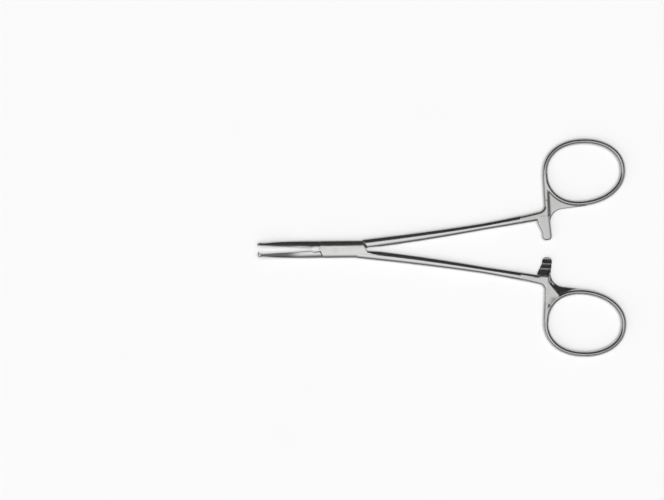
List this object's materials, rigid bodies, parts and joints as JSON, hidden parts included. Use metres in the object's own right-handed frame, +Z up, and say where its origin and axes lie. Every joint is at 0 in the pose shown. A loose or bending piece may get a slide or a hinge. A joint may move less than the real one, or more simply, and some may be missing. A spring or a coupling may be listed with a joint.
{
  "type": "hemostat forceps",
  "caption": "Curved locking clamp forceps with serrated toothed jaws, a riveted box lock, slim shanks, finger rings and a ratchet catch, lying slightly open.",
  "frame": {"origin": "on the pivot axis, at the flat underside of the box", "axes": "+X from the pivot to the finger rings, +Y across the instrument, +Z up out of the plane in which the halves turn; the jaws run along -X and curve up"},
  "size_m": [0.1401, 0.0832, 0.0104],
  "materials": {
    "forged_steel": "satin stainless steel, fine brushed",
    "pin_steel": "satin stainless steel, ground flush"
  },
  "bodies": {
    "female_half": {"box_half": "forged_steel", "pivot_pin": "pin_steel"},
    "male_half": {"through_half": "forged_steel"}
  },
  "joints": [
    {"name": "box_lock", "type": "hinge", "parent": "female_half", "child": "male_half", "pos_m": [0, 0, 0.0021], "axis": [0, 0, 1], "range_deg": [-6, 30]}
  ]
}
